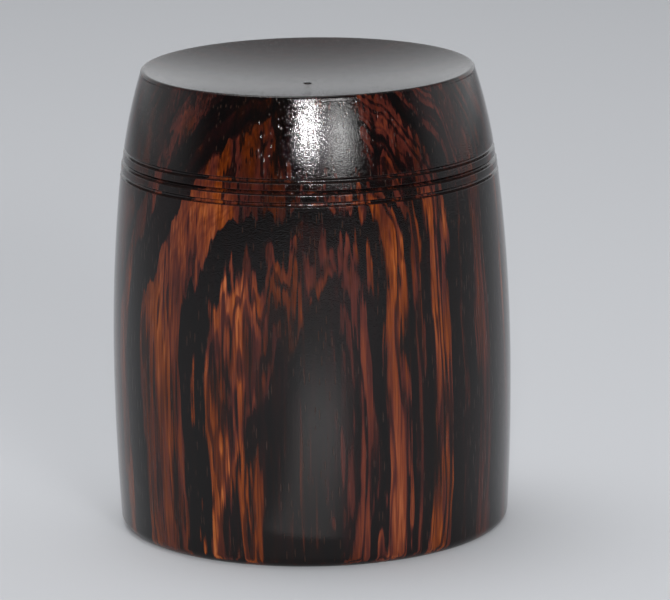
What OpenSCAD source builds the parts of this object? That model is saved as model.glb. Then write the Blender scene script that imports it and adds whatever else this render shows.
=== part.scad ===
// Turned hardwood tea caddy: a barrel-shaped body and lid cut from one blank,
// joined by a separate collar ring, with a knobbed inner lid in the collar's mouth.
// Millimetres, +Z up, origin at the centre of the base.

/* [Overall] */
// Height of the closed caddy
height = 79; // [70:0.5:96]
// Diameter at the belly, the widest point
belly_d = 68; // [60:0.5:82]

/* [Outline] */
// Height of the belly above the base
belly_z = 27.5; // [20:0.5:36]
// Radius of the side's arc below the belly
lower_arc_r = 450; // [300:10:900]
// Radius of the side's arc from the belly up to the shoulder
upper_arc_r = 300; // [220:5:500]
// Distance from the seam down to the shoulder, where the lid's arc begins
shoulder_drop = 2; // [0:0.5:8]
// Radius of the arc from the shoulder up to the rim
lid_arc_r = 90; // [70:1:140]
// Rounding of the foot
foot_r = 2; // [1:0.25:3]
// Rounding of the lid's rim
rim_r = 0.6; // [0.3:0.1:1.2]

/* [Lid] */
// Height of the lid, from the seam to the rim
lid_h = 15.5; // [12.5:0.5:19]
// How far the lid's side stands in from the body's at the seam
lid_step = 0.12; // [0:0.02:0.3]
// Depth of the hollow turned in the lid's top
dish_depth = 3; // [1:0.25:4]
// Thickness of the lid's top at the middle of the hollow
lid_top_t = 2.8; // [2:0.1:4]
// Thinnest wall of the lid, at the top of its socket
lid_wall = 2.2; // [1.6:0.1:3]
// Radius of the small nib left at the middle of the hollow
nib_r = 0.7; // [0.4:0.1:1.2]
// Height of the nib
nib_h = 0.2; // [0.1:0.05:0.4]

/* [Grooves] */
// Distance between the ring grooves, the middle one being the seam
groove_pitch = 1.9; // [1.4:0.1:3]
// Radius of the groove's round bottom
groove_r = 0.4; // [0.2:0.05:0.6]
// Depth of a groove
groove_depth = 0.55; // [0.3:0.05:0.8]

/* [Body] */
// Wall of the body
body_wall = 4.5; // [3:0.25:6]
// Thickness of the floor above the base hollow
floor_t = 4.5; // [3:0.25:8]
// Rounding between the inside wall and the floor
bowl_r = 8; // [4:0.5:12]
// Height of the throat's curve under the collar
throat_h = 9; // [6:0.5:14]
// Wood left under the collar's rebate
shelf_t = 2.5; // [1.5:0.25:4]
// Width of the ring that the caddy stands on
foot_ring_w = 4; // [2:0.5:7]
// Depth of the hollow turned in the base
base_hollow = 1; // [0.5:0.1:2]

/* [Collar] */
// Depth that the collar is let into the body
collar_let_in = 9; // [6:0.5:11]
// Gap between the collar's top and the lid's ceiling
collar_headroom = 2.7; // [2:0.1:4]
// Collar's wall beside the inner lid
lip_t = 1.8; // [1.2:0.1:2.5]
// Width of the ledge that the inner lid sits on
seat_w = 1.4; // [1:0.1:3]
// Bevel on the collar's top edges
collar_bevel = 0.5; // [0.2:0.1:0.8]

/* [Inner lid] */
// Thickness of the inner lid
plate_t = 3.2; // [2.6:0.1:4]
// Depth of the relief turned in its underside
plate_relief = 0.4; // [0.2:0.1:0.6]
// Rounding of its top edge
plate_edge_r = 0.6; // [0.3:0.1:1]
// Height of the knob above the inner lid
knob_h = 6; // [5:0.25:8]
// Radius of the knob's head
knob_head_r = 5; // [4:0.25:8]
// Radius of the knob's waist
knob_waist_r = 2.3; // [1.8:0.1:3]
// Radius of the knob's foot
knob_foot_r = 3.4; // [3:0.1:5]
// Height of the knob's head
knob_head_h = 3.4; // [2.5:0.1:4]
// Radius of the knob's tenon
tenon_r = 1.9; // [1.2:0.1:2.5]
// Length of the knob's tenon
tenon_l = 1.8; // [1:0.1:2]

/* [Clearances] */
// Gap all round between the lid and the collar
lid_fit = 0.08; // [0.05:0.01:0.2]
// Gap all round between the inner lid and the collar
inner_fit = 0.15; // [0.1:0.01:0.3]
// Gap between the collar's top and the top of the lid's socket
socket_gap = 0.5; // [0.3:0.1:1]
// Gap between the knob and the lid's ceiling
knob_gap = 1.7; // [1:0.1:3]
// Glue line all round a glued piece
glue = 0.03; // [0.02:0.01:0.08]

/* [Hidden] */
$fn = 96;
small_fn = 32;  // facets of a groove's section and of the nib
corner_n = 8;   // steps along a rounded corner
edge_n = 6;     // steps along an eased edge
dish_n = 16;    // steps across a shallow hollow
step = 1.5;  // height between the points of a long outline
eps = 0.01;  // how far a cutter runs past the face that it opens

belly_r = belly_d / 2;
seam_z = height - lid_h;
shoulder_z = seam_z - shoulder_drop;
groove_zs = [for (i = [-1:1]) seam_z + i * groove_pitch];

// The side is three tangent arcs, met at the belly and at the shoulder
shoulder_a = asin((shoulder_z - belly_z) / upper_arc_r);
shoulder_r = belly_r - upper_arc_r * (1 - cos(shoulder_a));
lid_arc_x = shoulder_r - lid_arc_r * cos(shoulder_a);
lid_arc_z = shoulder_z - lid_arc_r * sin(shoulder_a);
function arc_drop(r, d) = r - sqrt(r * r - d * d);
function outer_r(z) =
    z < belly_z ? belly_r - arc_drop(lower_arc_r, belly_z - z)
    : z < shoulder_z ? belly_r - arc_drop(upper_arc_r, z - belly_z)
    : lid_arc_x + sqrt(pow(lid_arc_r, 2) - pow(z - lid_arc_z, 2));

// Levels and radii inside, worked down from the lid's ceiling
ceiling_z = height - dish_depth - lid_top_t;
collar_top = ceiling_z - collar_headroom;
collar_bottom = seam_z - collar_let_in;
socket_top = collar_top + socket_gap;
socket_r = outer_r(socket_top) - lid_step - lid_wall;
collar_r = socket_r - lid_fit;
lip_r = collar_r - lip_t;
neck_r = lip_r - seat_w;
plate_r = lip_r - inner_fit;
plate_top = ceiling_z - knob_gap - knob_h;
seat_z = plate_top - plate_t;
throat_top = collar_bottom - shelf_t;
floor_z = base_hollow + floor_t;

// Points every `step` from z0 to z1 on the outside, moved in by `inset`
function side(z0, z1, inset = 0) =
    let (n = ceil(abs(z1 - z0) / step))
    [for (i = [0:n]) let (z = z0 + (z1 - z0) * i / n) [outer_r(z) - inset, z]];
// Points on an arc about c, from angle a0 to a1
function arc(c, r, a0, a1, n = corner_n) =
    [for (i = [0:n]) let (a = a0 + (a1 - a0) * i / n) c + r * [cos(a), sin(a)]];
// A shallow hollow of radius r and depth d up into a face at z, from the axis to its edge
function dish(r, d, z) =
    [for (i = [0:dish_n]) let (x = r * i / dish_n) [x, z + d * (1 - pow(x / r, 2))]];

module turned(outline) {
    rotate_extrude() polygon(outline);
}

// The three ring grooves, whose middle one is half in the body and half in the lid
module ring_grooves() {
    for (z = groove_zs)
        rotate_extrude()
            translate([outer_r(z) - groove_depth + groove_r, z]) circle(r = groove_r, $fn = small_fn);
}

// Outside of the body: base hollow, foot and side, up to the seam
module body_blank() {
    foot_top_r = outer_r(foot_r);
    foot_c = [foot_top_r - foot_r, foot_r];
    hollow_r = foot_c[0] - foot_ring_w;
    turned(concat(
        [[0, seam_z]],
        dish(hollow_r, base_hollow, 0),
        arc(foot_c, foot_r, -90, 0),
        side(foot_r + step / 2, seam_z)
    ));
}

// Room for the tea: floor, rounded corner, wall and the throat's S-curve
module tea_room() {
    corner_z = floor_z + bowl_r;
    corner_c = [outer_r(corner_z) - body_wall - bowl_r, corner_z];
    throat_n = 12;
    turned(concat(
        [[0, floor_z]],
        arc(corner_c, bowl_r, -90, 0),
        side(corner_z + step / 2, throat_top - throat_h, body_wall),
        [for (i = [1:throat_n])
            let (t = i / throat_n, s = t * t * (3 - 2 * t), z = throat_top - throat_h * (1 - t))
            [(outer_r(z) - body_wall) * (1 - s) + neck_r * s, z]],
        [[neck_r, collar_bottom + eps], [0, collar_bottom + eps]]
    ));
}

module body() {
    color("#4a2113") difference() {
        body_blank();
        tea_room();
        translate([0, 0, collar_bottom]) cylinder(r = collar_r + glue, h = collar_let_in + eps);
        ring_grooves();
    }
}

module collar() {
    color("#1d1714") difference() {
        translate([0, 0, collar_bottom]) cylinder(r = collar_r, h = collar_top - collar_bottom);
        translate([0, 0, collar_bottom - eps]) cylinder(r = neck_r, h = collar_top);
        translate([0, 0, seat_z]) cylinder(r = lip_r, h = collar_top);
        // bevels on the inner and the outer top edge
        translate([0, 0, collar_top - collar_bevel])
            cylinder(r1 = lip_r, r2 = lip_r + collar_bevel + eps, h = collar_bevel + eps);
        turned([
            [collar_r + eps, collar_top - collar_bevel],
            [collar_r + eps, collar_top + eps],
            [collar_r - collar_bevel, collar_top + eps],
            [collar_r - collar_bevel, collar_top]
        ]);
    }
}

module inner_lid() {
    relief_r = neck_r - seat_w;
    color("#5a2a17") difference() {
        turned(concat(
            [[0, seat_z], [plate_r, seat_z]],
            arc([plate_r - plate_edge_r, plate_top - plate_edge_r], plate_edge_r, 0, 90, edge_n),
            [[0, plate_top]]
        ));
        translate([0, 0, seat_z - eps]) cylinder(r = relief_r, h = plate_relief + eps);
        translate([0, 0, plate_top - tenon_l - glue]) cylinder(r = tenon_r + glue, h = tenon_l + glue + eps);
    }
}

module inner_lid_knob() {
    head_half = knob_head_h / 2;
    head_z = knob_h - head_half;
    waist_a = acos(knob_waist_r / knob_head_r);
    stem_h = head_z - head_half * sin(waist_a);
    stem_n = 8;
    head_n = 16;
    color("#1d1714") translate([0, 0, plate_top]) {
        turned(concat(
            [[0, 0]],
            [for (i = [0:stem_n - 1])
                let (t = i / stem_n)
                [knob_waist_r + (knob_foot_r - knob_waist_r) * pow(1 - t, 2), stem_h * t]],
            [for (i = [0:head_n])
                let (a = -waist_a + (90 + waist_a) * i / head_n)
                [i == head_n ? 0 : knob_head_r * cos(a), head_z + head_half * sin(a)]]
        ));
        translate([0, 0, -tenon_l]) cylinder(r = tenon_r, h = tenon_l + eps);
    }
}

// Outside of the lid: the hollow top, rounded rim and side
module lid_blank() {
    rim_z = height - rim_r;
    rim_c = [outer_r(rim_z) - lid_step - rim_r, rim_z];
    turned(concat(
        [[0, seam_z]],
        dish(rim_c[0], -dish_depth, height),
        arc(rim_c, rim_r, 90, 0, edge_n),
        side(rim_z - step / 3, seam_z, lid_step)
    ));
}

// Socket for the collar, with a rounded corner up to the ceiling
module lid_socket() {
    corner_r = ceiling_z - socket_top;
    turned(concat(
        [[0, seam_z - eps], [socket_r, seam_z - eps]],
        arc([socket_r - corner_r, socket_top], corner_r, 0, 90),
        [[0, ceiling_z]]
    ));
}

module nib() {
    nib_ball_r = (nib_r * nib_r + nib_h * nib_h) / (2 * nib_h);
    hollow_z = height - dish_depth;
    intersection() {
        translate([0, 0, hollow_z + nib_h - nib_ball_r]) sphere(r = nib_ball_r, $fn = small_fn);
        translate([0, 0, hollow_z - nib_h]) cylinder(r = nib_r, h = 2 * nib_h + eps);
    }
}

module lid() {
    color("#4a2113") {
        difference() {
            lid_blank();
            lid_socket();
            ring_grooves();
        }
        nib();
    }
}

body();
collar();
inner_lid();
inner_lid_knob();
lid();
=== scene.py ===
"""Turned rosewood tea caddy: the finish of its five pieces, its floor, lights and camera."""
import math
import bpy
from mathutils import Matrix, Vector


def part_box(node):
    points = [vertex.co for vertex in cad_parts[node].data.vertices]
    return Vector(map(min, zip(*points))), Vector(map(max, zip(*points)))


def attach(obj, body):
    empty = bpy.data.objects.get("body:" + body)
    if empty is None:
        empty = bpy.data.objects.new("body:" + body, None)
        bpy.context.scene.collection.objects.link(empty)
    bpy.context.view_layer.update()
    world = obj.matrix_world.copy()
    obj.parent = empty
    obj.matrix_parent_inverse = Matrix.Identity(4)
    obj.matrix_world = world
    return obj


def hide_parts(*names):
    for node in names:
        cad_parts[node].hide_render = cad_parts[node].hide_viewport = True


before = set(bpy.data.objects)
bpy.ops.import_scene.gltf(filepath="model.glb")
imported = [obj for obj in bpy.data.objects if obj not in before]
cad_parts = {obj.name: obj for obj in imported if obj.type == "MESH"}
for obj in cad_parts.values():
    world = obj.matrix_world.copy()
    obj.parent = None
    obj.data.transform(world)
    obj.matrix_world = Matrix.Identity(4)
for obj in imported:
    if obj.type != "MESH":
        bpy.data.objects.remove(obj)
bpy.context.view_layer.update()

MM = 0.001


# ---------------------------------------------------------------- sizes, in millimetres

def span(node):
    """Radius, bottom and top of a round piece."""
    low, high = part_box(node)
    return high[0] / MM, low[2] / MM, high[2] / MM


belly_r, _, seam_z = span("body")
_, _, rim_z = span("lid")
collar_r, collar_bottom, collar_top = span("collar")
plate_r, seat_z, plate_top = span("inner_lid")
knob_head_r, tenon_bottom, knob_top = span("inner_lid_knob")

# the side: three tangent arcs
BELLY_Z = 27.5
LOWER_ARC_R = 450.0
UPPER_ARC_R = 300.0
LID_ARC_R = 90.0
SHOULDER_Z = seam_z - 2.0
LID_STEP = 0.12

# foot, base and rim
FOOT_R = 2.0
FOOT_RING_W = 4.0
BASE_HOLLOW = 1.0
RIM_R = 0.6
DISH_DEPTH = 3.0
NIB_R = 0.7
NIB_H = 0.2

# ring grooves
GROOVE_PITCH = 1.9
GROOVE_DEPTH = 0.55
GROOVE_HALF_W = 0.46
GROOVES = [seam_z + i * GROOVE_PITCH for i in (-1, 0, 1)]

# inside of the body
FLOOR_Z = 5.5
BOWL_R = 8.0
BODY_WALL = 4.5
SHELF_T = 2.5
THROAT_H = 9.0

# collar and lid socket
LIP_T = 1.8
SEAT_W = 1.4
COLLAR_BEVEL = 0.5
LID_FIT = 0.08
GLUE = 0.03
SOCKET_GAP = 0.5
LID_TOP_T = 2.8
lip_r = collar_r - LIP_T
neck_r = lip_r - SEAT_W
socket_r = collar_r + LID_FIT
socket_top = collar_top + SOCKET_GAP
ceiling_z = rim_z - DISH_DEPTH - LID_TOP_T

# inner lid and knob
PLATE_RELIEF = 0.4
PLATE_EDGE_R = 0.6
KNOB_FOOT_R = 3.4
KNOB_WAIST_R = 2.3
KNOB_HEAD_H = 3.4
KNOB_ARRIS = 0.05
TENON_R = 1.9

ARRIS = 0.12          # rounding of an edge that was just eased with fine paper
STEPS_ROUND = 240     # facets of a turned piece
WELD = 0.0005         # points closer than this are one point


# ---------------------------------------------------------------- outlines, as (radius, height)

def side_r(z):
    """Radius of the caddy's side at height z, before its grooves."""
    shoulder = math.asin((SHOULDER_Z - BELLY_Z) / UPPER_ARC_R)
    shoulder_r = belly_r - UPPER_ARC_R * (1 - math.cos(shoulder))
    if z < BELLY_Z:
        return belly_r - LOWER_ARC_R + math.sqrt(LOWER_ARC_R ** 2 - (BELLY_Z - z) ** 2)
    if z < SHOULDER_Z:
        return belly_r - UPPER_ARC_R + math.sqrt(UPPER_ARC_R ** 2 - (z - BELLY_Z) ** 2)
    centre_r = shoulder_r - LID_ARC_R * math.cos(shoulder)
    centre_z = SHOULDER_Z - LID_ARC_R * math.sin(shoulder)
    return centre_r + math.sqrt(LID_ARC_R ** 2 - (z - centre_z) ** 2)


def groove_cut(z):
    """Depth of the ring grooves at height z: round at the bottom, with softened lips."""
    t = min(abs(z - groove) for groove in GROOVES) / GROOVE_HALF_W
    return GROOVE_DEPTH * (1 - t ** 3) ** 2 if t < 1 else 0.0


def steps(a, b, n):
    """n + 1 evenly spaced values from a to b."""
    return [a + (b - a) * i / n for i in range(n + 1)]


def arc(r, z, radius, start, end, n=10):
    """Points on an arc about (r, z), with its angles in degrees."""
    return [(r + radius * math.cos(math.radians(a)), z + radius * math.sin(math.radians(a)))
            for a in steps(start, end, n)]


def side(z0, z1, inset=0.0):
    """Points up or down the outside, close together where a groove is cut."""
    coarse, fine, past = 1.0, 0.04, 1e-5
    near = GROOVE_HALF_W + 0.1
    way = 1 if z1 > z0 else -1
    points, z = [], z0
    while (z1 - z) * way > fine / 2:
        points.append((side_r(z) - inset - groove_cut(z), z))
        in_groove = any(abs(z - groove) < near for groove in GROOVES)
        ahead = [(groove - way * near - z) * way for groove in GROOVES]
        gap = min([d for d in ahead if d > past / 10], default=coarse)
        z += way * (fine if in_groove else min(coarse, gap + past))
    points.append((side_r(z1) - inset - groove_cut(z1), z1))
    return points


def edge(before, point, after, radius=ARRIS, n=5):
    """A corner eased to a small round that touches both of its sides."""
    p = Vector(point)
    a = (Vector(before) - p).normalized()
    b = (Vector(after) - p).normalized()
    half = a.angle(b) / 2
    reach = radius / math.tan(half)
    centre = p + (a + b).normalized() * radius / math.sin(half)
    first, last = p + a * reach - centre, p + b * reach - centre
    ways = [first.slerp(last, t) for t in steps(0, 1, n)]
    return [tuple(centre + way * radius / way.length) for way in ways]


def eased(corners, radius=ARRIS):
    """A chain of straight lines with every corner between its two ends eased."""
    points = [corners[0]]
    for before, point, after in zip(corners, corners[1:], corners[2:]):
        points += edge(before, point, after, radius)
    return points + [corners[-1]]


def body_outline():
    """Outside of the body from the axis under the base up to the seam, then its inside."""
    foot_r = side_r(FOOT_R) - FOOT_R
    hollow_r = foot_r - FOOT_RING_W
    mouth = (side_r(seam_z) - GROOVE_DEPTH, seam_z)
    wood = [(hollow_r * t, BASE_HOLLOW * (1 - t * t)) for t in steps(0, 1, 16)]
    wood += arc(foot_r, FOOT_R, FOOT_R, -90, 0, 12)
    wood += side(FOOT_R + 0.5, seam_z - ARRIS)
    wood += edge((mouth[0], seam_z - 1), mouth, (collar_r, seam_z))
    rebate_r = collar_r + GLUE
    throat_top = collar_bottom - SHELF_T
    throat_foot = throat_top - THROAT_H
    corner = (side_r(FLOOR_Z + BOWL_R) - BODY_WALL - BOWL_R, FLOOR_Z + BOWL_R)
    hollow = eased([(rebate_r + 0.5, seam_z), (rebate_r, seam_z), (rebate_r, collar_bottom),
                    (neck_r, collar_bottom), (neck_r, throat_top)])
    for t in steps(0, 1, 24)[1:]:
        blend = (1 - t) ** 2 * (1 + 2 * t)
        z = throat_top - THROAT_H * t
        hollow.append(((side_r(z) - BODY_WALL) * (1 - blend) + neck_r * blend, z))
    hollow += [(side_r(z) - BODY_WALL, z) for z in steps(throat_foot, corner[1], 20)[1:]]
    hollow += arc(*corner, BOWL_R, 0, -90, 16)[1:]
    hollow += [(corner[0] * t, FLOOR_Z) for t in steps(1, 0, 8)[1:]]
    return wood, hollow


def lid_outline():
    """Socket of the lid from the axis down to the seam, then its outside up over the rim."""
    corner_r = ceiling_z - socket_top
    hollow = [((socket_r - corner_r) * t, ceiling_z) for t in steps(0, 1, 8)]
    hollow += arc(socket_r - corner_r, socket_top, corner_r, 90, 0, 10)[1:]
    mouth = (side_r(seam_z) - LID_STEP - GROOVE_DEPTH, seam_z)
    hollow += eased([(socket_r, socket_top - 1), (socket_r, seam_z), (mouth[0] - 0.5, seam_z)])
    wood = edge((mouth[0] - 1, seam_z), mouth, (mouth[0], seam_z + 1))
    rim_centre = (side_r(rim_z - RIM_R) - LID_STEP - RIM_R, rim_z - RIM_R)
    dish_slope = math.degrees(math.atan(2 * DISH_DEPTH / rim_centre[0]))
    wood += side(seam_z + ARRIS, rim_centre[1] - 0.2, LID_STEP)
    wood += arc(*rim_centre, RIM_R, 0, 90 + dish_slope, 12)
    dish_r, dish_z = wood[-1]
    bottom = rim_z - DISH_DEPTH
    dish_end = 1.3 * NIB_R / dish_r
    wood += [(dish_r * t, bottom + (dish_z - bottom) * t * t) for t in steps(1, dish_end, 40)[1:]]
    wood += [(NIB_R * math.sin(a), bottom + NIB_H * math.cos(a)) for a in steps(math.pi / 2, 0, 10)]
    return hollow, wood


def collar_outline():
    """Round the collar's section, from its foot up the bore, over the lip and down outside."""
    ring = [(neck_r + 1, collar_bottom), (neck_r, collar_bottom), (neck_r, seat_z), (lip_r, seat_z),
            (lip_r, collar_top - COLLAR_BEVEL), (lip_r + COLLAR_BEVEL, collar_top),
            (collar_r - COLLAR_BEVEL, collar_top), (collar_r, collar_top - COLLAR_BEVEL),
            (collar_r, collar_bottom), (neck_r + 1, collar_bottom)]
    return eased(ring)


def inner_lid_outline():
    """Relieved underside, edge and top of the inner lid."""
    relief_r = neck_r - SEAT_W
    under = eased([(0, seat_z + PLATE_RELIEF), (relief_r, seat_z + PLATE_RELIEF), (relief_r, seat_z),
                   (plate_r, seat_z), (plate_r, plate_top - PLATE_EDGE_R)])
    top = arc(plate_r - PLATE_EDGE_R, plate_top - PLATE_EDGE_R, PLATE_EDGE_R, 0, 90)
    hole_r = TENON_R + GLUE
    top += eased([(plate_r - 1, plate_top), (hole_r, plate_top), (hole_r, tenon_bottom - GLUE),
                  (0, tenon_bottom - GLUE)])
    return under + top


def knob_outline():
    """Tenon, flared foot, waist and oval head of the knob."""
    head_half = KNOB_HEAD_H / 2
    head_z = knob_top - head_half
    waist = math.acos(KNOB_WAIST_R / knob_head_r)
    neck_z = head_z - head_half * math.sin(waist)
    knob = eased([(0, tenon_bottom), (TENON_R, tenon_bottom), (TENON_R, plate_top), (KNOB_FOOT_R, plate_top),
                  (KNOB_FOOT_R - 0.1, plate_top + 0.4)], KNOB_ARRIS)[:-1]
    for t in steps(0.06, 1, 24):
        knob.append((KNOB_WAIST_R + (KNOB_FOOT_R - KNOB_WAIST_R) * (1 - t) ** 2,
                     plate_top + (neck_z - plate_top) * t))
    knob += [(knob_head_r * math.cos(a), head_z + head_half * math.sin(a))
             for a in steps(-waist, math.pi / 2, 40)[1:]]
    return knob


# ---------------------------------------------------------------- node helpers

class Nodes:
    """Adds nodes to one tree and links them."""

    def __init__(self, tree):
        self.tree = tree

    def add(self, kind, **settings):
        node = self.tree.nodes.new(kind)
        for name, value in settings.items():
            setattr(node, name, value)
        return node

    def feed(self, value, socket):
        """Links an output to the socket, or sets a plain value on it."""
        if isinstance(value, bpy.types.NodeSocket):
            self.tree.links.new(value, socket)
        elif value is not None:
            socket.default_value = value

    def math(self, operation, a, b=None, c=None, clamp=False):
        node = self.add("ShaderNodeMath", operation=operation, use_clamp=clamp)
        for value, socket in zip((a, b, c), node.inputs):
            self.feed(value, socket)
        return node.outputs[0]

    def plus(self, base, value, amount=1.0):
        """base + value * amount."""
        return self.math("MULTIPLY_ADD", value, amount, base)

    def minus(self, a, b):
        return self.math("SUBTRACT", a, b)

    def times(self, a, b):
        return self.math("MULTIPLY", a, b)

    def vector(self, operation, a, b=None):
        node = self.add("ShaderNodeVectorMath", operation=operation)
        self.feed(a, node.inputs[0])
        if operation == "SCALE":
            self.feed(b, node.inputs["Scale"])
        else:
            self.feed(b, node.inputs[1])
        return node.outputs["Value"] if operation == "LENGTH" else node.outputs[0]

    def split(self, vector):
        node = self.add("ShaderNodeSeparateXYZ")
        self.feed(vector, node.inputs[0])
        return node.outputs

    def join(self, x, y, z):
        node = self.add("ShaderNodeCombineXYZ")
        for value, socket in zip((x, y, z), node.inputs):
            self.feed(value, socket)
        return node.outputs[0]

    def ramp(self, value, low, high, to_low=0.0, to_high=1.0):
        """The value carried smoothly from low..high to to_low..to_high, and held at the ends."""
        node = self.add("ShaderNodeMapRange", interpolation_type="SMOOTHSTEP")
        for item, socket in zip((value, low, high, to_low, to_high), node.inputs):
            self.feed(item, socket)
        return node.outputs[0]

    def noise(self, place, size, detail=0.0, rough=0.5):
        """Smooth noise from -1 to 1 whose features have this size, in the place's own units."""
        grid = self.vector("DIVIDE", place, size)
        node = self.add("ShaderNodeTexNoise", noise_dimensions="3D")
        self.feed(grid, node.inputs["Vector"])
        self.feed(1.0, node.inputs["Scale"])
        self.feed(detail, node.inputs["Detail"])
        self.feed(rough, node.inputs["Roughness"])
        return self.math("MULTIPLY_ADD", node.outputs[0], 2.0, -1.0)

    def noise_line(self, value, size, detail=0.0):
        """Smooth noise from -1 to 1 along one number."""
        node = self.add("ShaderNodeTexNoise", noise_dimensions="1D")
        self.feed(self.math("DIVIDE", value, size), node.inputs["W"])
        self.feed(1.0, node.inputs["Scale"])
        self.feed(detail, node.inputs["Detail"])
        return self.math("MULTIPLY_ADD", node.outputs[0], 2.0, -1.0)

    def colours(self, value, stops):
        """A colour ramp through (position, colour) stops."""
        node = self.add("ShaderNodeValToRGB")
        elements = node.color_ramp.elements
        while len(elements) < len(stops):
            elements.new(1.0)
        for element, (position, _) in zip(elements, stops):
            element.position = position
        for element, (_, colour) in zip(elements, stops):
            element.color = (*colour, 1.0)
        self.feed(value, node.inputs[0])
        return node.outputs[0]

    def mix(self, share, a, b):
        """The colour a where share is 0 and b where it is 1."""
        node = self.add("ShaderNodeMix", data_type="RGBA")
        self.feed(share, node.inputs[0])
        for value, socket in ((a, node.inputs[6]), (b, node.inputs[7])):
            self.feed((*value, 1.0) if isinstance(value, tuple) else value, socket)
        return node.outputs[2]

    def blend(self, share, a, b):
        """The number a where share is 0 and b where it is 1."""
        node = self.add("ShaderNodeMix", data_type="FLOAT")
        for value, socket in zip((share, a, b), (node.inputs[0], node.inputs[2], node.inputs[3])):
            self.feed(value, socket)
        return node.outputs[0]

    def group(self, tree, **values):
        """The outputs of a shader node group, with these values on its inputs."""
        node = self.add("ShaderNodeGroup", node_tree=tree)
        for name, value in values.items():
            self.feed(value, node.inputs[name])
        return node.outputs


def new_group(name, kind, inputs, outputs):
    """An empty node group with named sockets: (name, type, default)."""
    tree = bpy.data.node_groups.new(name, kind)
    for label, socket_type, default in inputs:
        socket = tree.interface.new_socket(label, in_out="INPUT", socket_type=socket_type)
        if default is not None:
            socket.default_value = default
    for label, socket_type in outputs:
        tree.interface.new_socket(label, in_out="OUTPUT", socket_type=socket_type)
    nodes = Nodes(tree)
    return tree, nodes, nodes.add("NodeGroupInput").outputs, nodes.add("NodeGroupOutput").inputs


# ---------------------------------------------------------------- the lathe

def lathe_tree():
    """Turns an outline, a chain of points in the XZ plane, round the Z axis into a closed skin."""
    tree, n, given, result = new_group(
        "turn on the lathe", "GeometryNodeTree",
        [("Outline", "NodeSocketGeometry", None), ("Steps Round", "NodeSocketInt", 64),
         ("Weld Distance", "NodeSocketFloat", 0.001), ("Outside Finish", "NodeSocketMaterial", None),
         ("Inside Finish", "NodeSocketMaterial", None)],
        [("Turned Piece", "NodeSocketGeometry")])
    size = n.add("GeometryNodeAttributeDomainSize")
    n.feed(given["Outline"], size.inputs[0])
    count = size.outputs["Point Count"]
    grid = n.add("GeometryNodeMeshGrid")
    n.feed(n.plus(given["Steps Round"], 1.0), grid.inputs["Vertices X"])
    n.feed(count, grid.inputs["Vertices Y"])
    index = n.add("GeometryNodeInputIndex").outputs[0]
    turn = n.math("FLOOR", n.math("DIVIDE", n.plus(index, 0.5), count))
    along = n.minus(index, n.times(turn, count))
    place = n.add("GeometryNodeSampleIndex", data_type="FLOAT_VECTOR", domain="POINT")
    n.feed(given["Outline"], place.inputs["Geometry"])
    n.feed(n.add("GeometryNodeInputPosition").outputs[0], place.inputs["Value"])
    n.feed(along, place.inputs["Index"])
    inside = n.add("GeometryNodeSampleIndex", data_type="FLOAT", domain="POINT")
    mark = n.add("GeometryNodeInputNamedAttribute", data_type="FLOAT")
    n.feed("inside", mark.inputs["Name"])
    n.feed(given["Outline"], inside.inputs["Geometry"])
    n.feed(mark.outputs["Attribute"], inside.inputs["Value"])
    n.feed(along, inside.inputs["Index"])
    angle = n.times(n.math("DIVIDE", turn, given["Steps Round"]), 2 * math.pi)
    radius, _, height = n.split(place.outputs["Value"])
    spot = n.join(n.times(radius, n.math("COSINE", angle)), n.times(radius, n.math("SINE", angle)), height)
    keep = n.add("GeometryNodeStoreNamedAttribute", data_type="FLOAT", domain="POINT")
    n.feed(grid.outputs["Mesh"], keep.inputs["Geometry"])
    n.feed("inside", keep.inputs["Name"])
    n.feed(inside.outputs["Value"], keep.inputs["Value"])
    move = n.add("GeometryNodeSetPosition")
    n.feed(keep.outputs[0], move.inputs["Geometry"])
    n.feed(spot, move.inputs["Position"])
    weld = n.add("GeometryNodeMergeByDistance")
    n.feed(move.outputs[0], weld.inputs["Geometry"])
    n.feed(given["Weld Distance"], weld.inputs["Distance"])
    smooth = n.add("GeometryNodeSetShadeSmooth")
    n.feed(weld.outputs[0], smooth.inputs["Geometry"])
    realize = n.add("GeometryNodeRealizeInstances")
    n.feed(smooth.outputs[0], realize.inputs[0])
    paint = n.add("GeometryNodeSetMaterial")
    n.feed(realize.outputs[0], paint.inputs["Geometry"])
    n.feed(given["Outside Finish"], paint.inputs["Material"])
    inner = n.add("GeometryNodeSetMaterial")
    n.feed(paint.outputs[0], inner.inputs["Geometry"])
    n.feed(given["Inside Finish"], inner.inputs["Material"])
    n.feed(n.math("GREATER_THAN", mark.outputs["Attribute"], 0.5), inner.inputs["Selection"])
    n.feed(inner.outputs[0], result["Turned Piece"])
    return tree


def turned(name, outline, outside, inside=None, inside_points=()):
    """A closed turned piece: its outline, in millimetres, taken round the axis on the lathe."""
    rough = bpy.data.meshes.new(name + "_outline")
    points = [(r * MM, 0.0, z * MM) for r, z in outline]
    rough.from_pydata(points, [(i, i + 1) for i in range(len(points) - 1)], [])
    marks = rough.attributes.new("inside", "FLOAT", "POINT")
    for i in inside_points:
        marks.data[i].value = 1.0
    blank = bpy.data.objects.new(name + "_blank", rough)
    bpy.context.scene.collection.objects.link(blank)
    turning = blank.modifiers.new("turn on the lathe", "NODES")
    turning.node_group = LATHE
    values = {"Steps Round": STEPS_ROUND, "Weld Distance": WELD * MM,
              "Outside Finish": outside, "Inside Finish": inside or outside}
    for item in LATHE.interface.items_tree:
        if item.in_out == "INPUT" and item.name in values:
            turning[item.identifier] = values[item.name]
    view = bpy.context.evaluated_depsgraph_get()
    mesh = bpy.data.meshes.new_from_object(blank.evaluated_get(view), depsgraph=view)
    bpy.data.objects.remove(blank)
    piece = bpy.data.objects.new(name, mesh)
    mesh.name = name
    bpy.context.scene.collection.objects.link(piece)
    return piece


# ---------------------------------------------------------------- timber, in millimetres

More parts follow.
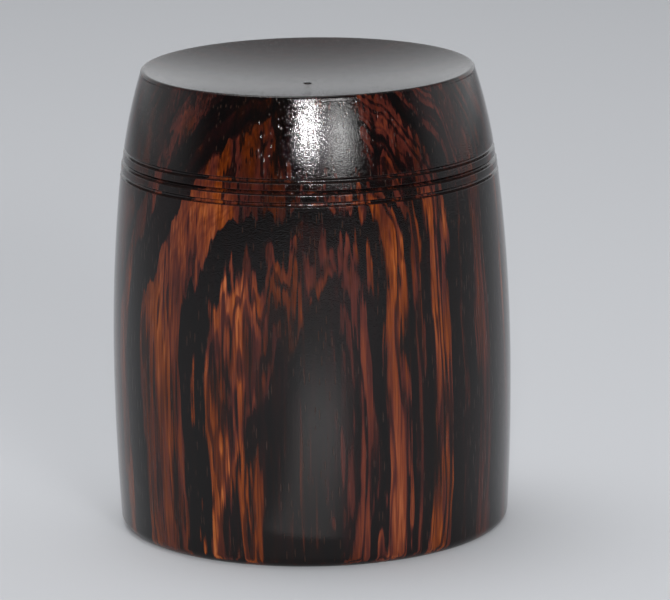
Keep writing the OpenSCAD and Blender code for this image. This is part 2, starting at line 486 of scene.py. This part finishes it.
# the tree's heart stands behind the blank, leans a little and bends in the caddy's upper half
HEART_X = 7.2
HEART_Y = 41.2
HEART_LEAN = 0.02
HEART_BEND = 6.5
BEND_FROM, BEND_TO = 38.0, 79.0

# growth bands, as (distance from the heart, tone from black 0 to orange 1)
LEFT_BANDS = [(56.0, 0.05), (59.0, 0.15), (62.0, 0.30), (63.4, 0.25), (63.6, 0.06), (64.2, 0.06),
              (64.3, 0.46), (65.7, 0.44), (65.8, 0.04), (68.7, 0.03), (68.8, 0.50), (70.4, 0.59),
              (72.4, 0.49), (72.5, 0.01), (73.52, 0.01), (73.6, 0.70), (73.88, 0.74), (73.96, 0.34),
              (74.18, 0.28), (74.24, 0.72), (74.56, 0.68), (74.64, 0.30), (74.92, 0.24), (74.98, 0.70),
              (75.3, 0.64), (75.38, 0.22), (75.6, 0.40), (77.0, 0.20)]
RIGHT_BANDS = [(56.0, 0.08), (57.4, 0.24), (57.6, 0.03), (60.9, 0.03), (61.0, 0.30), (63.7, 0.28),
               (63.9, 0.02), (65.7, 0.02), (65.8, 0.28), (66.0, 0.02), (67.2, 0.03), (67.3, 0.50),
               (69.0, 0.52), (69.1, 0.03), (70.0, 0.03), (70.1, 0.42), (70.8, 0.38), (70.9, 0.03),
               (71.4, 0.03), (71.5, 0.60), (72.5, 0.54), (72.6, 0.03), (73.1, 0.03), (73.2, 0.56),
               (74.0, 0.48), (74.1, 0.05), (74.5, 0.34), (77.0, 0.12)]
NEAREST, FARTHEST = LEFT_BANDS[0][0], LEFT_BANDS[-1][0]
DULLING = (-15.0, -6.0)        # where, from left to right, the left bands lose half of their tone
SIDES_MEET = (-4.0, 6.0)       # where they give way to the right bands
SIDES_WAVER = 5.0
PLAIN_PITCH = 3.1              # rings nearer to the heart than any band
PLAIN_ENDS = 3.0               # they give way to the bands over this distance
PLAIN_TONES = (-0.12, 0.30, 0.03, 0.55)

# burls inside the wood push the rings outwards near them: (x, height, reach, push)
BURLS = [(-13.0, 56.0, 9.0, 0.9), (-17.0, 14.0, 24.0, -0.55), (15.0, 64.0, 30.0, 1.2)]

# waves of the grain, each as long across, across and along the trunk, and how far they push the rings
SLOW_WAVE, SLOW_PUSH = (24, 24, 60), 0.8
WANDER_WAVE = (4.6, 4.6, 44)
FLAME_WAVE, FLAME_PUSH = (2.0, 2.0, 30), 0.8
HAIR_WAVE, HAIR_PUSH = (0.3, 0.3, 10), 0.12
TOOTH_WAVE, TOOTH_PUSH = (0.8, 0.8, 18), 0.34
RIPPLE_WAVE, RIPPLE_PUSH = (1.9, 1.9, 9), 0.42

# black veins and brown streaks that follow the rings more closely, and are calmer in the lid
LID_FROM = (60, 67)            # the heights over which they calm down
VEIN_FLAME, VEIN_TOOTH, VEIN_CALM = 0.25, 0.10, 0.7
VEIN_PITCH, VEIN_SHADES = 0.42, (-0.35, 0.05)
VEIN_TONE_LEFT, VEIN_TONE_RIGHT, VEIN_LID_WEAKER = 0.88, 0.38, 0.25      # the tone left in a vein
STREAK_PITCH, STREAK_TONES = 1.2, (-0.10, 0.16, 0.0, 0.40)
STREAKS_LID, STREAKS_RIGHT = 0.75, 0.25
LID_DARKER = 0.25

# the black stain low on the front: its left edge slants up to the right, its right edge is upright
STAIN_LEFT, STAIN_SPREAD, STAIN_RIGHT = -15.0, 0.0075, 4.2
TONGUE_X, TONGUE_HALF_W, TONGUE_TOP = -10.2, 1.8, 19.0       # a tongue of brown wood rises in it
CROWN_LEFT, CROWN_RIGHT, CROWN_FOOT = -5.0, 9.5, 63.0        # the black stain on the lid
TONGUE_END, CROWN_RISE = 3.0, (-2.0, 1.0)
STAIN_EDGE = 0.6
JAGS_FLAME, JAGS_WANDER, JAGS_UP = 4.0, 3.0, 8.0             # how ragged the stains are across and upwards
STAIN_BEHIND = (-10, 0)        # the stains end towards the back of the caddy
STAIN_STRIPES = ((0.8, 0.8, 60), 0.06, 0.20, 1.0, 0.55)      # thin stripes in them are less black
STAIN_BLACK = 0.88

# shades along the grain: (wave, low, high, darkest, lightest)
FIBRE_LINES = ((0.36, 0.36, 26), -0.35, 0.20, 0.82, 1.06)
PATCHES = ((5, 5, 22), -0.30, 0.25, 0.60, 1.12)
GAP_SHORT, GAP_LONG, GAP_LONG_SHARE = (0.8, 0.8, 16), (1.7, 1.7, 26), 0.8
GAP_SHADES = (-0.36, -0.12, 0.42, 1.0)
GRAIN_LINES, GRAIN_IN_BLACK, GRAIN_IN_TONE = (1.1, 1.1, 30), 0.035, 0.35
FIBRES = (0.25, 0.25, 9)
RED_PATCHES, RED_LINES, RED_LINES_SHARE = (12, 12, 40), (1.5, 1.5, 11), 0.8
RED_SHADES = (-0.30, 0.25)

# open pores: room for one, how many places stay empty, and the edge of its tube
PORE_ROOM = (0.42, 0.42, 4.2)
PORES_MISSING = 0.45
PORE_TUBE = (0.16, 0.30)


def rings(n, place, wander):
    """Distance of a place from the tree's heart, wavy and pushed out near the burls."""
    x, y, z = n.split(place)
    bend = n.ramp(z, BEND_FROM, BEND_TO, 0.0, HEART_BEND)
    from_heart = n.join(n.plus(n.minus(x, HEART_X), bend), n.plus(n.minus(y, HEART_Y), z, HEART_LEAN), 0.0)
    ring = n.plus(n.vector("LENGTH", from_heart), wander)
    ring = n.plus(ring, n.noise(place, SLOW_WAVE, 1), SLOW_PUSH)
    for burl_x, burl_z, reach, push in BURLS:
        away = n.vector("LENGTH", n.join(n.minus(x, burl_x), 0.0, n.minus(z, burl_z)))
        ring = n.plus(ring, n.ramp(away, 0.0, reach, push, 0.0))
    return ring


def band_tone(n, ring, x, turn_over):
    """Tone of the growth bands at a ring: the left ones, the right ones, or plain rings near the heart."""
    reach = FARTHEST - NEAREST
    share = n.math("DIVIDE", n.minus(ring, NEAREST), reach)
    left, right = (n.colours(share, [((d - NEAREST) / reach, (tone, tone, tone)) for d, tone in bands])
                   for bands in (LEFT_BANDS, RIGHT_BANDS))
    left = n.times(left, n.ramp(x, *DULLING, 1.0, 0.5))
    plain = n.ramp(n.noise_line(ring, PLAIN_PITCH, 2), *PLAIN_TONES)
    return n.blend(n.ramp(ring, NEAREST, NEAREST + PLAIN_ENDS), plain, n.blend(turn_over, left, right))


def between(n, value, low, high):
    """1 from low to high, with the stains' soft edge at both ends."""
    return n.times(n.ramp(n.minus(value, low), -STAIN_EDGE, STAIN_EDGE),
                   n.ramp(n.minus(high, value), -STAIN_EDGE, STAIN_EDGE))


def shade(n, place, wave, low, high, to_low, to_high):
    """Noise of this wave, carried from low..high to the shades to_low..to_high."""
    return n.ramp(n.noise(place, wave, 1), low, high, to_low, to_high)


def stains(n, place, wander, flame, tooth):
    """How much of a place is stained black."""
    x, y, z = n.split(place)
    across = n.plus(n.plus(n.plus(x, tooth), flame, JAGS_FLAME), wander, JAGS_WANDER)
    up = n.plus(n.plus(z, tooth, JAGS_UP), flame, JAGS_UP)
    slant = n.plus(STAIN_LEFT, n.times(z, z), STAIN_SPREAD)
    tongue = n.times(between(n, across, TONGUE_X - TONGUE_HALF_W, TONGUE_X + TONGUE_HALF_W),
                     n.ramp(up, TONGUE_TOP, TONGUE_TOP + TONGUE_END, 1.0, 0.0))
    low_stain = n.times(between(n, across, slant, STAIN_RIGHT), n.minus(1.0, tongue))
    crown = n.times(between(n, across, CROWN_LEFT, CROWN_RIGHT),
                    n.ramp(up, *(CROWN_FOOT + rise for rise in CROWN_RISE)))
    stained = n.times(n.math("MAXIMUM", low_stain, crown), n.ramp(y, *STAIN_BEHIND, 1.0, 0.0))
    return n.times(stained, shade(n, place, *STAIN_STRIPES))


def pores(n, place):
    """1 inside the open pores, which are tubes along the grain."""
    cells = n.add("ShaderNodeTexVoronoi", feature="F1")
    n.feed(n.vector("DIVIDE", place, PORE_ROOM), cells.inputs["Vector"])
    n.feed(1.0, cells.inputs["Scale"])
    tube = n.ramp(cells.outputs["Distance"], *PORE_TUBE, 1.0, 0.0)
    is_open = n.math("GREATER_THAN", n.split(cells.outputs["Color"])[0], PORES_MISSING)
    return n.times(tube, is_open)


def figure_group():
    """The figure of the timber at a place given in millimetres: its tone, pores, fibres and redness."""
    tree, n, given, result = new_group(
        "rosewood figure", "ShaderNodeTree", [("Place", "NodeSocketVector", None)],
        [("Tone", "NodeSocketFloat"), ("Pores", "NodeSocketFloat"), ("Fibres", "NodeSocketFloat"),
         ("Redness", "NodeSocketFloat")])
    place = given["Place"]
    x, _, z = n.split(place)
    wander = n.noise(place, WANDER_WAVE, 2)
    flame, tooth, hair = (n.noise(place, wave, 1) for wave in (FLAME_WAVE, TOOTH_WAVE, HAIR_WAVE))
    in_lid = n.ramp(z, *LID_FROM)
    turn_over = n.ramp(n.plus(x, wander, SIDES_WAVER), *SIDES_MEET)
    smooth_ring = rings(n, place, wander)

    fine = n.plus(n.times(tooth, VEIN_TOOTH), flame, VEIN_FLAME)
    fine = n.plus(smooth_ring, fine, n.plus(1.0, in_lid, -VEIN_CALM))
    on_right = n.times(turn_over, n.plus(1.0, in_lid, -VEIN_LID_WEAKER))
    vein_tone = n.blend(on_right, VEIN_TONE_LEFT, VEIN_TONE_RIGHT)
    vein = n.blend(n.ramp(n.noise_line(fine, VEIN_PITCH, 1), *VEIN_SHADES), vein_tone, 1.0)
    streaks = n.ramp(n.noise_line(fine, STREAK_PITCH, 1), *STREAK_TONES)
    streaks = n.times(streaks, n.plus(n.times(turn_over, STREAKS_RIGHT), in_lid, STREAKS_LID))

    ring = smooth_ring
    for wave, push in ((flame, FLAME_PUSH), (hair, HAIR_PUSH), (tooth, TOOTH_PUSH),
                       (n.noise(place, RIPPLE_WAVE, 1), RIPPLE_PUSH)):
        ring = n.plus(ring, wave, push)
    tone = n.math("MAXIMUM", band_tone(n, ring, x, turn_over), streaks)
    tone = n.times(tone, n.plus(1.0, in_lid, -LID_DARKER))
    tone = n.times(tone, n.plus(1.0, stains(n, place, wander, flame, tooth), -STAIN_BLACK))
    gap = n.plus(n.noise(place, GAP_SHORT, 1), n.noise(place, GAP_LONG, 1), GAP_LONG_SHARE)
    gap = n.ramp(gap, *GAP_SHADES)
    for factor in (vein, shade(n, place, *FIBRE_LINES), gap, shade(n, place, *PATCHES)):
        tone = n.times(tone, factor)
    grain = n.plus(hair, n.noise(place, GRAIN_LINES, 1))
    tone = n.math("MULTIPLY_ADD", grain, n.plus(GRAIN_IN_BLACK, tone, GRAIN_IN_TONE), tone, clamp=True)

    n.feed(tone, result["Tone"])
    n.feed(pores(n, place), result["Pores"])
    n.feed(n.noise(place, FIBRES, 2), result["Fibres"])
    redness = n.plus(n.noise(place, RED_PATCHES, 1), n.noise(place, RED_LINES, 1), RED_LINES_SHARE)
    n.feed(n.ramp(redness, *RED_SHADES), result["Redness"])
    return tree


# ---------------------------------------------------------------- finishes

# rosewood's colours from black to orange, as (tone, colour): a brown run and a redder one
BROWN = [(0.0, (0.0018, 0.0014, 0.0014)), (0.12, (0.0062, 0.0020, 0.0013)),
         (0.35, (0.051, 0.0088, 0.0014)), (0.60, (0.132, 0.0265, 0.0036)), (1.0, (0.36, 0.108, 0.022))]
RED = [(0.0, (0.0019, 0.0014, 0.0015)), (0.12, (0.0066, 0.0020, 0.0020)),
       (0.35, (0.046, 0.0092, 0.0062)), (0.60, (0.106, 0.0222, 0.0080)), (1.0, (0.275, 0.078, 0.026))]
END_GRAIN, END_GRAIN_SHARE, END_GRAIN_FROM = (0.012, 0.008, 0.0075), 0.78, (0.72, 0.95)
PORE, PORE_SHARE = (0.050, 0.022, 0.014), 0.28
EBONY = [(0.0, (0.0048, 0.0042, 0.0042)), (0.6, (0.011, 0.0085, 0.0075)), (1.0, (0.030, 0.019, 0.014))]
EBONY_LINES, EBONY_FIBRES, EBONY_FIBRE_SHARE = (0.9, 0.9, 24), (0.2, 0.2, 5), 0.35
EBONY_TONES = (-0.4, 0.7)
EBONY_ROUGHNESS, EBONY_BUMP = 0.38, 0.35
WOOD_IOR, LACQUER_IOR = 1.5, 1.34
FIBRE_ROUGHNESS, EBONY_FIBRE_ROUGHNESS = 0.06, 0.08      # how much rougher or smoother a fibre is
FIBRE_HEIGHT = 0.25                                      # of a pore's depth
PORE_DEPTH, SKIN_DEPTH, EBONY_DEPTH = 0.03, 0.0125, 0.02       # millimetres
SKIN_SPECKS = (0.19, 0.19, 0.21)


def new_finish(name):
    """An empty material, its node helper and its shader, which is already joined to the output."""
    material = bpy.data.materials.new(name)
    material.use_nodes = True
    material.node_tree.nodes.clear()
    n = Nodes(material.node_tree)
    shader = n.add("ShaderNodeBsdfPrincipled")
    shader.inputs["IOR"].default_value = WOOD_IOR
    n.feed(shader.outputs[0], n.add("ShaderNodeOutputMaterial").inputs["Surface"])
    return material, n, shader


def roughen(n, height, strength, depth, socket):
    """A bump of this depth, in millimetres, into a normal socket."""
    bump = n.add("ShaderNodeBump")
    n.feed(height, bump.inputs["Height"])
    bump.inputs["Strength"].default_value = strength
    bump.inputs["Distance"].default_value = depth * MM
    n.feed(bump.outputs[0], socket)


def timber(name, grain, skin, roughness, coat, coat_roughness, lay=None):
    """A rosewood finish, where grain and skin are the strengths of the wood's and the coat's bumps.

    lay turns and moves the figure for a piece that was cut another way.
    """
    material, n, shader = new_finish(name)
    where = n.add("ShaderNodeTexCoord")
    place = n.vector("SCALE", where.outputs["Object"], 1 / MM)
    if lay:
        turn = n.add("ShaderNodeMapping")
        n.feed(place, turn.inputs["Vector"])
        turn.inputs["Rotation"].default_value = lay["turn"]
        turn.inputs["Location"].default_value = lay["move"]
        place = turn.outputs[0]
    figure = n.group(FIGURE, Place=place)
    colour = n.mix(figure["Redness"], n.colours(figure["Tone"], BROWN), n.colours(figure["Tone"], RED))
    upright = n.math("ABSOLUTE", n.split(where.outputs["Normal"])[2])
    end_grain = 0.0 if lay else n.ramp(upright, *END_GRAIN_FROM)
    colour = n.mix(end_grain, colour, n.mix(END_GRAIN_SHARE, colour, END_GRAIN))
    colour = n.mix(n.times(figure["Pores"], PORE_SHARE), colour, PORE)
    n.feed(colour, shader.inputs["Base Color"])
    n.feed(n.plus(roughness, figure["Fibres"], FIBRE_ROUGHNESS), shader.inputs["Roughness"])
    wood_gloss = 0.5 * (1 - coat)      # a full coat takes all of it
    shader.inputs["Specular IOR Level"].default_value = wood_gloss
    shader.inputs["Coat Weight"].default_value = coat
    shader.inputs["Coat Roughness"].default_value = coat_roughness
    shader.inputs["Coat IOR"].default_value = LACQUER_IOR
    height = n.plus(n.times(figure["Fibres"], FIBRE_HEIGHT), figure["Pores"], -1.0)
    specks = n.plus(height, n.noise(place, SKIN_SPECKS, 1))
    roughen(n, height, grain, PORE_DEPTH, shader.inputs["Normal"])
    roughen(n, specks, skin, SKIN_DEPTH, shader.inputs["Coat Normal"])
    return material


def ebony(name):
    """Close-grained near-black wood, rubbed to a soft shine."""
    material, n, shader = new_finish(name)
    place = n.vector("SCALE", n.add("ShaderNodeTexCoord").outputs["Object"], 1 / MM)
    fibre = n.noise(place, EBONY_FIBRES, 2)
    tone = n.ramp(n.plus(n.noise(place, EBONY_LINES, 3, 0.6), fibre, EBONY_FIBRE_SHARE), *EBONY_TONES)
    n.feed(n.colours(tone, EBONY), shader.inputs["Base Color"])
    n.feed(n.plus(EBONY_ROUGHNESS, fibre, EBONY_FIBRE_ROUGHNESS), shader.inputs["Roughness"])
    roughen(n, fibre, EBONY_BUMP, EBONY_DEPTH, shader.inputs["Normal"])
    return material


# ---------------------------------------------------------------- floor, lights, camera, in metres

FLOOR_HALF_W, FLOOR_FRONT = 2.5, -1.2
FLOOR_GREY = (0.525, 0.535, 0.558, 1)

# soft lights, as (name, place, width, height, power, share of the width that is fully bright)
SOFT_LIGHTS = [("lamp_above_camera", (-0.01, -1.83, 0.67), 0.19, 0.34, 84.0, 0.3),
               ("window_behind_camera", (0.64, -1.85, 0.62), 0.92, 0.60, 50.0, 0.0),
               ("overhead", (-0.15, 0.15, 1.1), 1.0, 1.0, 12.0, 0.3)]
LIGHTS_AIM = Vector((0, 0, 0.05))

# the glowing card on the table before the caddy
CARD_W, CARD_LENGTH, CARD_POWER = 0.12, 0.17, 0.118
CARD_PLACE, CARD_TURN = (0.008, -0.122, 0.004), 8      # metres, degrees
CARD_NEAR_W, CARD_WIDENS = 0.10, 0.40          # half width of the glow and its growth, as shares of CARD_W
CARD_SOFT_FROM = 0.35                          # of the half width: its sides fade from there
CARD_NEAR_GLOW, CARD_FULL_FROM, CARD_FADE_FROM = 0.42, 0.5, 0.6

# the room: pale all round but dark in front, and darker on the left
SKY_TOP = 0.7
SKY = [(0.0, (1.03, 1.06, 1.09)), (0.32, (1.10, 1.13, 1.16)), (1.0, (0.40, 0.41, 0.425))]
LEFT_DARKER = 0.38
FRONT, FRONT_ENDS = (0.05, 0.05, 0.051), (-0.4, 0.1)

CAMERA_PLACE = Vector((0.0, -0.8341, 0.2305))
CAMERA_DOWN, CAMERA_RIGHT, CAMERA_ROLL = 12.975, 0.2707, -0.937      # degrees
LENS, SENSOR_W = 268.9, 36.0                                         # millimetres


def make_floor():
    """A plain pale matt table top."""
    half, front = FLOOR_HALF_W, FLOOR_FRONT
    mesh = bpy.data.meshes.new("floor")
    corners = [(-half, front, 0), (half, front, 0), (half, half, 0), (-half, half, 0)]
    mesh.from_pydata(corners, [], [(0, 1, 2, 3)])
    floor = bpy.data.objects.new("floor", mesh)
    bpy.context.scene.collection.objects.link(floor)
    material = bpy.data.materials.new("pale_table")
    material.use_nodes = True
    shader = material.node_tree.nodes["Principled BSDF"]
    shader.inputs["Base Color"].default_value = FLOOR_GREY
    shader.inputs["Roughness"].default_value = 0.9
    mesh.materials.append(material)


def area_light(name, shape, width, height, power):
    """An area light at the origin, facing down, with its node helper."""
    light = bpy.data.lights.new(name, "AREA")
    light.shape = shape
    light.size, light.size_y = width, height
    light.energy = power
    light.use_nodes = True
    lamp = bpy.data.objects.new(name, light)
    bpy.context.scene.collection.objects.link(lamp)
    return lamp, Nodes(light.node_tree)


def glow(lamp, n, strength):
    """Sets how strongly each point of a light shines."""
    n.feed(strength, lamp.data.node_tree.nodes["Emission"].inputs["Strength"])


def softbox(name, place, width, height, power, bright):
    """An oval soft light that faces the caddy and fades out towards its edge."""
    lamp, n = area_light(name, "ELLIPSE", width, height, power)
    off_middle = n.vector("SUBTRACT", n.add("ShaderNodeNewGeometry").outputs["Parametric"], (0.5, 0.5, 0.0))
    glow(lamp, n, n.ramp(n.vector("LENGTH", off_middle), bright / 2, 0.5, 1.0, 0.0))
    lamp.location = place
    lamp.rotation_euler = (LIGHTS_AIM - Vector(place)).to_track_quat("-Z", "Y").to_euler()


def card_in_front():
    """A glowing card that lies face up before the caddy: it widens away from the foot, then fades."""
    card, n = area_light("card_in_front", "RECTANGLE", CARD_W, CARD_LENGTH, CARD_POWER)
    across, away, _ = n.split(n.add("ShaderNodeNewGeometry").outputs["Parametric"])
    off_middle = n.math("ABSOLUTE", n.minus(across, 0.5))
    half_w = n.plus(CARD_NEAR_W, away, CARD_WIDENS)
    sides = n.ramp(n.math("DIVIDE", off_middle, half_w), CARD_SOFT_FROM, 1.0, 1.0, 0.0)
    ends = n.times(n.ramp(away, 0.0, CARD_FULL_FROM, CARD_NEAR_GLOW, 1.0),
                   n.ramp(away, CARD_FADE_FROM, 1.0, 1.0, 0.0))
    glow(card, n, n.times(sides, ends))
    card.location = CARD_PLACE
    card.rotation_euler = (math.radians(180), 0.0, math.radians(CARD_TURN))
    card.visible_camera = False


def make_room():
    """Pale surroundings for the caddy to reflect."""
    world = bpy.data.worlds.new("studio")
    bpy.context.scene.world = world
    world.use_nodes = True
    n = Nodes(world.node_tree)
    x, y, z = n.split(n.add("ShaderNodeTexCoord").outputs["Generated"])
    pale = n.colours(n.ramp(z, 0.0, SKY_TOP), SKY)
    pale = n.mix(n.ramp(x, -1.0, 1.0, LEFT_DARKER, 0.0), pale, (0.0, 0.0, 0.0))
    room = n.mix(n.ramp(y, *FRONT_ENDS, 1.0, 0.0), pale, FRONT)
    n.feed(room, world.node_tree.nodes["Background"].inputs["Color"])


def make_camera():
    """A long lens a little above the caddy, its aim just right of the axis and its frame rolled a touch."""
    down, aim_right, roll = (math.radians(a) for a in (CAMERA_DOWN, CAMERA_RIGHT, CAMERA_ROLL))
    ahead = Vector((0, math.cos(down), -math.sin(down)))
    right = Vector((1, 0, 0))
    up = right.cross(ahead)
    right, up = right * math.cos(roll) + up * math.sin(roll), up * math.cos(roll) - right * math.sin(roll)
    ahead, right = (ahead * math.cos(aim_right) + right * math.sin(aim_right),
                    right * math.cos(aim_right) - ahead * math.sin(aim_right))
    data = bpy.data.cameras.new("camera")
    data.sensor_width = SENSOR_W
    data.lens = LENS
    data.clip_start = 0.01
    camera = bpy.data.objects.new("camera", data)
    turn = Matrix((right, up, -ahead)).transposed().to_4x4()
    camera.matrix_world = Matrix.Translation(CAMERA_PLACE) @ turn
    bpy.context.scene.collection.objects.link(camera)
    bpy.context.scene.camera = camera


# ---------------------------------------------------------------- the caddy

LATHE = lathe_tree()
FIGURE = figure_group()

polished = timber("rosewood_polished", 0.5, 1.0, 0.34, 1.0, 0.05)
unpolished = timber("rosewood_inside", 0.8, 0.5, 0.50, 0.0, 0.3)
flat_cut = timber("rosewood_flat_cut", 0.7, 0.5, 0.40, 0.35, 0.2,
                  lay={"turn": (0, math.radians(90), 0), "move": (-30.0, 0.0, 30.0)})
black = ebony("ebony_rubbed")

make_camera()
make_floor()
for soft_light in SOFT_LIGHTS:
    softbox(*soft_light)
card_in_front()
make_room()

wood, hollow = body_outline()
body = turned("body_turned", wood + hollow, polished, unpolished, range(len(wood), len(wood) + len(hollow)))
hollow, wood = lid_outline()
lid = turned("lid_turned", hollow + wood, polished, unpolished, range(len(hollow)))
collar = turned("collar_turned", collar_outline(), black)
inner_lid = turned("inner_lid_turned", inner_lid_outline(), flat_cut)
knob = turned("knob_turned", knob_outline(), black)

for piece, node, rigid_body, slot in ((body, "body", "body", "rosewood"), (lid, "lid", "lid", "rosewood"),
                                      (collar, "collar", "body", "ebony"),
                                      (inner_lid, "inner_lid", "inner_lid", "rosewood_satin"),
                                      (knob, "inner_lid_knob", "inner_lid", "ebony")):
    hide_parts(node)
    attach(piece, rigid_body)

bpy.context.scene.view_settings.view_transform = "Standard"
